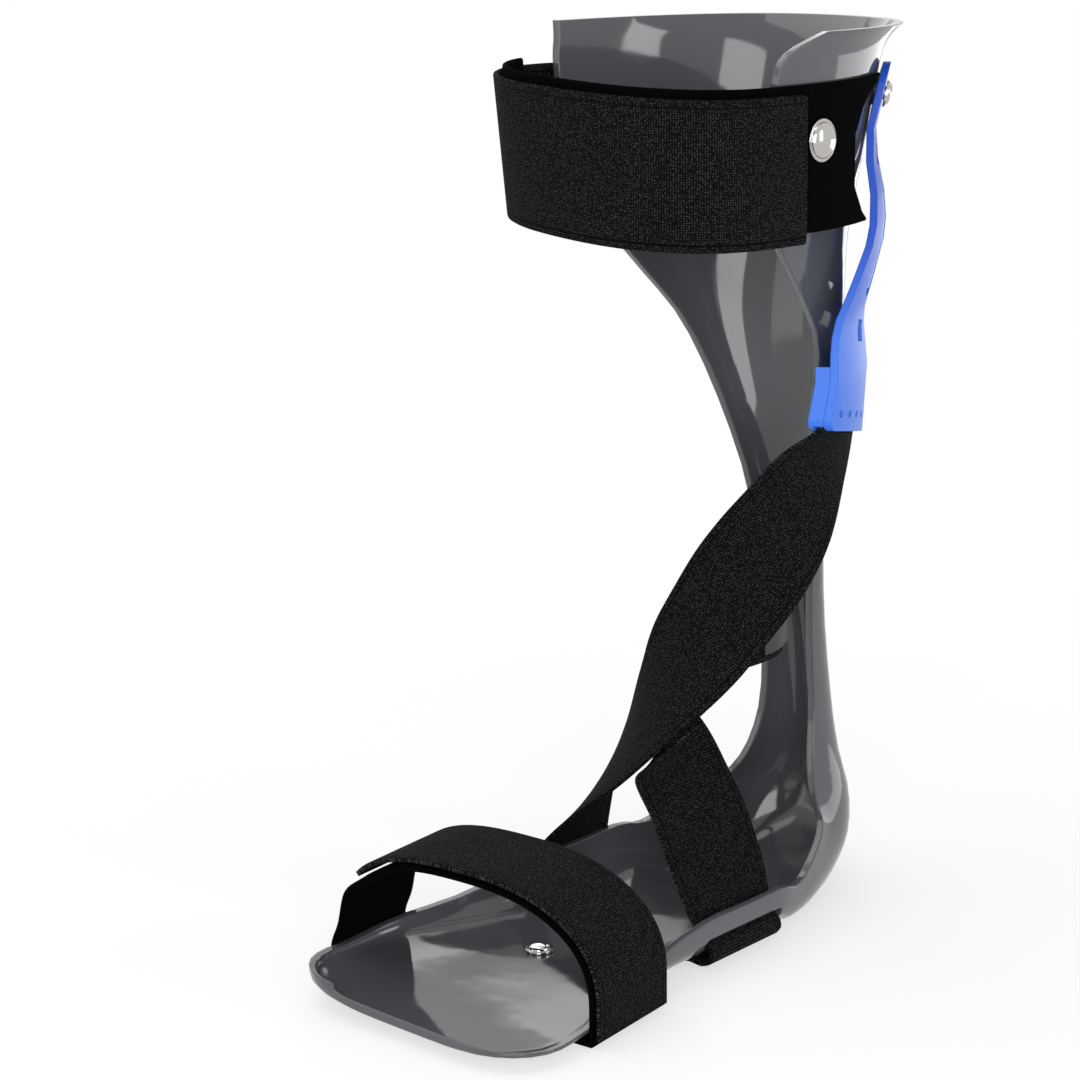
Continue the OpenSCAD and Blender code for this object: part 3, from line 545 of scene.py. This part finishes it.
ANKLE = [[9.40033, -37.4879, 112.537, 0, -0.3, -0.95, 0], [13, -34.4, 113, 0, -0.24, -0.97, 0],
         [16.4, -28.5, 113, 0, -0.12, -0.99, 0], [18.2, -20, 113, 0, 0, -1, 0],
         [18.7, -10, 113, 0, 0, -1, 0], [17, 2, 113, 0, 0, -1, 0], [11, 14, 113, 0, 0, -1, 0]]
strap("ankle_webbing", row_frames(ANKLE, 0, len(ANKLE) - 1, 50), ANKLE_WIDTH, -half_t, half_t, WEBBING,
      "ankle_flap", ["ankle_strap"])
strap("ankle_hook_face", row_frames(ANKLE, 4, 5.8, 16), ANKLE_TAPE_WIDTH, BACK - TAPE_T, BACK, HOOKS,
      "ankle_flap", ["ankle_hook_tape"], edge=TAPE_EDGE)

# Strap under the sole
SOLE = dict(z=2.4, half_m=37.5, half_l=40.5, wall_m=24.0, wall_l=17.0, square=3.6)


def sole_point(t, out):
    """A point out from the sole's section at the slot, t from -1 to 1 across it."""
    side, q, n = (-1 if t < 0 else 1), math.radians(90 * abs(t)), 2 / SOLE["square"]
    w = (SOLE["half_m"] if t < 0 else SOLE["half_l"]) + out
    d = (SOLE["wall_m"] if t < 0 else SOLE["wall_l"]) + out
    return (side * w * math.sin(q) ** n, SOLE["z"] - out + d * (1 - max(math.cos(q), 0) ** n))


FINE_STEP, SLOT_Y = 1.2, -46.0
outer_x, edge_x = -SOLE["half_m"] - 0.25 - half_t, SOLE["half_l"]
sole_path = ([(outer_x, 19.8), (outer_x, 15)]
             + [sole_point(j / 16, 0.25 + half_t) for j in range(-12, 7)]
             + [(edge_x - 5, 2.4), (edge_x - 1.8, 3.6), (edge_x, 6), (edge_x - 0.8, 8.6), (edge_x - 3.2, 10.2),
                (edge_x - 5.6, 13.2)])
sole_frames = path_frames(resample(sole_path, FINE_STEP), np.array([0.0, -1.0, 0.0]),
                          lambda p: np.array([p[0], SLOT_Y, p[1]]))
strap("sole_webbing", sole_frames, FOOT_WIDTH, -half_t, half_t, WEBBING, "brace", ["sole_strap"])

# Forefoot straps
TURN = math.radians(5.7)
FOOT_ACROSS = np.array([-math.sin(TURN), math.cos(TURN), 0.0])
LOOP_HALF, LOOP_RISE, LOOP_BASE, SOLE_EDGE = 48.9, 30.0, 16.0, 57.3


def foot_place(p):
    """A point of the forefoot straps' middle plane, which is turned with the toes."""
    return np.array([-3 + p[0] * math.cos(TURN), -124.8 + p[0] * math.sin(TURN), p[1]])


def loop_point(out, q):
    x, y = oval(LOOP_HALF + out, LOOP_RISE + out, 2.9 if q > 90 else 2.3, q)
    return (x, LOOP_BASE + y - 0.035 * x)


foot_loop = ([(LOOP_HALF + half_t, half_t)] + [loop_point(half_t, q) for q in range(0, 145, 3)]
             + [(-LOOP_HALF - 2.2 - half_t, 33), (-LOOP_HALF - 3.6 - half_t, 27),
                (-LOOP_HALF - 5 - half_t, 19.5), (-SOLE_EDGE - half_t, 13.2),
                (-SOLE_EDGE - half_t, half_t + 2.1)]
             + [(LOOP_HALF + half_t, half_t)])
loop_frames = path_frames(softened(resample(foot_loop, FINE_STEP), 8), FOOT_ACROSS, foot_place)
strap("forefoot_loop_velvet", loop_frames, FOOT_WIDTH, -half_t, half_t, VELVET, "brace",
      ["forefoot_strap_loop"], edge=VELVET_EDGE)
HOOK_OUT = STRAP_T + GAP + TAPE_T
foot_hook = ([(LOOP_HALF + HOOK_OUT + half_t, 3)]
             + [loop_point(HOOK_OUT + half_t, q) for q in range(0, 148, 3)])
strap("forefoot_hook_webbing", path_frames(resample(foot_hook), FOOT_ACROSS, foot_place), FOOT_WIDTH,
      -half_t, half_t, WEBBING, "forefoot_flap", ["forefoot_strap_hook"], corners=(0, 1))
foot_tape = [loop_point(HOOK_OUT, q) for q in range(78, 133, 3)]
strap("forefoot_hook_face", path_frames(resample(foot_tape), FOOT_ACROSS, foot_place), FOOT_TAPE_WIDTH,
      -TAPE_T, 0, HOOKS, "forefoot_flap", ["forefoot_hook_tape"], edge=TAPE_EDGE)

# ---------------------------------------------------------------- floor, light, camera


def seen_rays(nodes, links):
    """1 for the rays that show the background: straight to the camera, or by way of metal or glass."""
    path = nodes.new("ShaderNodeLightPath")
    seen = path.outputs["Is Camera Ray"]
    for other in ("Is Glossy Ray", "Is Transmission Ray"):
        larger = nodes.new("ShaderNodeMath")
        larger.operation = "MAXIMUM"
        links.new(seen, larger.inputs[0])
        links.new(path.outputs[other], larger.inputs[1])
        seen = larger.outputs[0]
    return seen


def plain_world():
    """White where it is seen, and a dimmer soft light on the object."""
    world = bpy.data.worlds.new("studio")
    scene.world = world
    world.use_nodes = True
    nodes, links = world.node_tree.nodes, world.node_tree.links
    light = nodes["Background"]
    light.inputs["Color"].default_value = (1, 1, 1, 1)
    light.inputs["Strength"].default_value = 0.42
    white = nodes.new("ShaderNodeBackground")
    white.inputs["Color"].default_value = (1, 1, 1, 1)
    white.inputs["Strength"].default_value = 1.0
    mix = nodes.new("ShaderNodeMixShader")
    links.new(seen_rays(nodes, links), mix.inputs["Fac"])
    links.new(light.outputs["Background"], mix.inputs[1])
    links.new(white.outputs["Background"], mix.inputs[2])
    links.new(mix.outputs["Shader"], nodes["World Output"].inputs["Surface"])


def floor():
    """White floor: it keeps the object's shadow and turns into plain white away from it."""
    mesh = bpy.data.meshes.new("floor")
    s = 30.0
    mesh.from_pydata([(-s, -s, 0), (s, -s, 0), (s, s, 0), (-s, s, 0)], [], [(0, 1, 2, 3)])
    obj = bpy.data.objects.new("floor", mesh)
    scene.collection.objects.link(obj)
    mat = bpy.data.materials.new("floor_white")
    mat.use_nodes = True
    nodes, links = mat.node_tree.nodes, mat.node_tree.links
    bsdf = nodes["Principled BSDF"]
    bsdf.inputs["Base Color"].default_value = (0.86, 0.86, 0.86, 1)
    bsdf.inputs["Roughness"].default_value = 0.9
    bsdf.inputs["Specular IOR Level"].default_value = 0.0
    position = mapped(nodes, links, "Object", (1, 1, 1))
    reach = nodes.new("ShaderNodeVectorMath")
    reach.operation = "LENGTH"
    links.new(position, reach.inputs[0])
    spread = nodes.new("ShaderNodeMapRange")
    spread.interpolation_type = "SMOOTHSTEP"
    spread.inputs["From Min"].default_value = 0.10
    spread.inputs["From Max"].default_value = 0.45
    spread.inputs["To Min"].default_value = 0.62
    spread.inputs["To Max"].default_value = 1.0
    links.new(reach.outputs["Value"], spread.inputs["Value"])
    share = nodes.new("ShaderNodeMath")
    share.operation = "MULTIPLY"
    links.new(seen_rays(nodes, links), share.inputs[0])
    links.new(spread.outputs["Result"], share.inputs[1])
    white = nodes.new("ShaderNodeEmission")
    white.inputs["Strength"].default_value = 1.0
    mix = nodes.new("ShaderNodeMixShader")
    links.new(share.outputs[0], mix.inputs["Fac"])
    links.new(bsdf.outputs["BSDF"], mix.inputs[1])
    links.new(white.outputs["Emission"], mix.inputs[2])
    links.new(mix.outputs["Shader"], nodes["Material Output"].inputs["Surface"])
    mesh.materials.append(mat)


def softbox(name, bearing, elevation, distance, spread, level, target):
    """An area light seen from the target over spread degrees, level times as bright as white."""
    b, e = math.radians(bearing), math.radians(elevation)
    target = Vector(target)
    position = target + distance * Vector((math.cos(e) * math.cos(b), math.cos(e) * math.sin(b), math.sin(e)))
    data = bpy.data.lights.new(name, "AREA")
    data.shape = "RECTANGLE"
    data.size, data.size_y = (2 * distance * math.tan(math.radians(a / 2)) for a in spread)
    data.energy = level * math.pi * data.size * data.size_y
    obj = bpy.data.objects.new(name, data)
    scene.collection.objects.link(obj)
    obj.location = position
    obj.rotation_euler = (target - position).to_track_quat("-Z", "Y").to_euler()


plain_world()
floor()
SHIN, TOES, HEEL = (0, -0.03, 0.2), (0, -0.15, 0), (0, 0, 0.09)
softbox("window", -47, 13, 1.7, (42, 38), 5.0, SHIN)
softbox("strip", 19, 12, 1.6, (14, 26), 5.5, SHIN)
softbox("fill", -128, 4, 1.8, (30, 30), 1.2, SHIN)
softbox("ceiling", 205, 66, 1.8, (56, 56), 1.7, SHIN)
softbox("back", 131, 37, 1.9, (46, 25), 1.5, TOES)
softbox("low_side", 84, 1, 0.9, (50, 12), 1.8, HEEL)

camera = bpy.data.objects.new("camera", bpy.data.cameras.new("camera"))
scene.collection.objects.link(camera)
camera.location = (0.6160, -0.8027, 0.3845)
camera.rotation_euler = (Vector((0, -0.042, 0.180)) - camera.location).to_track_quat("-Z", "Y").to_euler()
camera.data.lens = 95.97
camera.data.sensor_width = 36.0
camera.data.shift_x = -0.1147
camera.data.shift_y = -0.0944
camera.data.clip_start = 0.05
scene.camera = camera
scene.view_settings.view_transform = "Standard"
